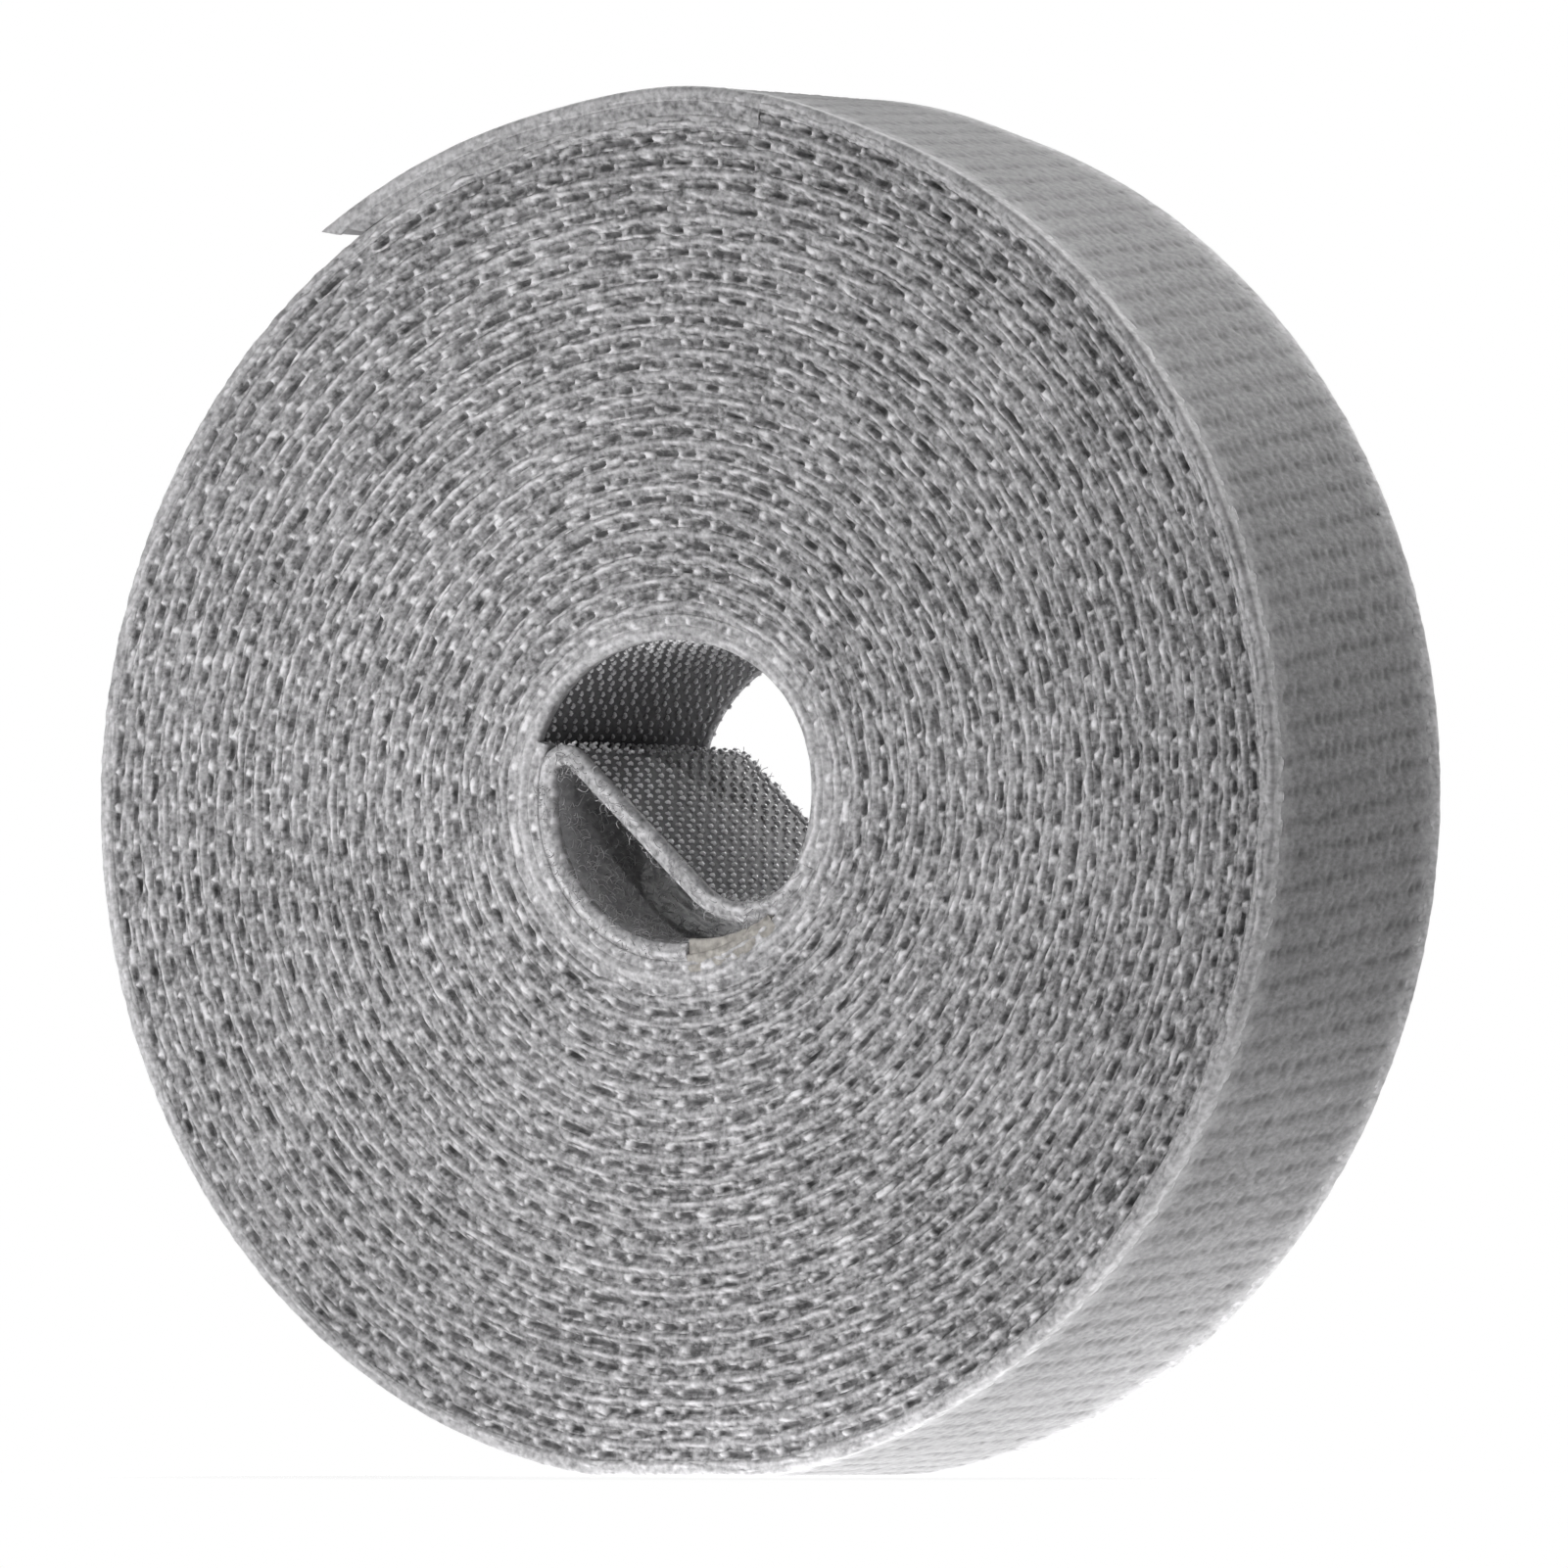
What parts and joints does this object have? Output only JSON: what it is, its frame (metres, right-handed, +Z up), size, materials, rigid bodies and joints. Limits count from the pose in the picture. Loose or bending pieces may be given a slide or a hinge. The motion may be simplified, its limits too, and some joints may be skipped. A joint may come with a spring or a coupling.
{
  "type": "hook and loop tape roll",
  "caption": "Roll of grey back-to-back hook and loop tape wound on itself without a core, standing on its rim, with an outer end that peels off and an inner tail curled across the bore.",
  "frame": {"origin": "under the middle of the roll, on the surface that it stands on", "axes": "+Z up; the roll's axis lies along Y, its front face towards -Y; +X to the right as seen from the front"},
  "size_m": [0.0814, 0.02, 0.0814],
  "materials": {
    "loop_pile": "soft brushed loop pile, matt grey",
    "hook_web": "woven ground with rows of fine moulded hooks, matt dark grey"
  },
  "bodies": {
    "roll": {"roll_loop_web": "loop_pile", "roll_hook_web": "hook_web"},
    "outer_end": {"outer_end_loop_web": "loop_pile", "outer_end_hook_web": "hook_web"},
    "inner_tail": {"inner_tail_loop_web": "loop_pile", "inner_tail_hook_web": "hook_web"}
  },
  "joints": [
    {"name": "outer_end_peel", "type": "hinge", "parent": "roll", "child": "outer_end", "pos_m": [0.00571, 0, 0.08124], "axis": [0, 1, 0], "range_deg": [0, 80], "stiffness_Nm_per_rad": 0.0008, "springref_deg": -11.46},
    {"name": "inner_tail_flex", "type": "hinge", "parent": "roll", "child": "inner_tail", "pos_m": [0.00819, 0, 0.03633], "axis": [0, 1, 0], "range_deg": [0, 12], "stiffness_Nm_per_rad": 0.001}
  ]
}
